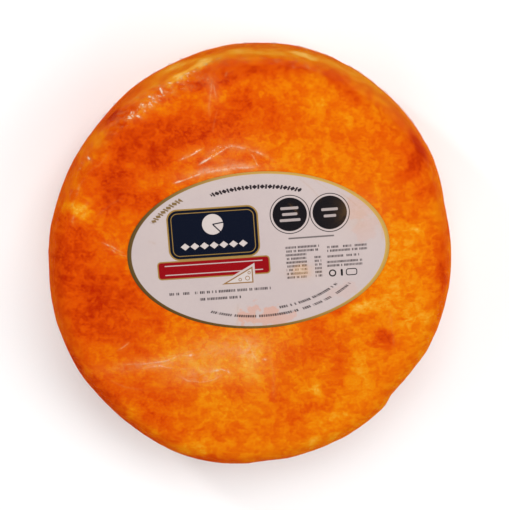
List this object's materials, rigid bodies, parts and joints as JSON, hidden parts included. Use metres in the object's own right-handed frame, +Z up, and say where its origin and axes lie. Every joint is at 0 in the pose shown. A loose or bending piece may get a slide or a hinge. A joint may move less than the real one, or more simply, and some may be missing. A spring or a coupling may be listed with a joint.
{
  "type": "wheel of aged cheese in clear film",
  "caption": "Round flat wheel of aged pressed cheese with a mottled orange chilli rind, sealed in clear film over an oval paper label.",
  "frame": {"origin": "middle of the flat underside of the film, on the surface the wheel rests on", "axes": "+Z up through the wheel's thickness, +Y towards the top of the label's print, +X to the label's right"},
  "size_m": [0.301, 0.3136, 0.1043],
  "materials": {
    "rind": "satin",
    "label_paper": "matte",
    "film": "gloss"
  },
  "bodies": {
    "root": {"cheese_wheel": "rind", "paper_label": "label_paper", "clear_film": "film"}
  },
  "joints": []
}
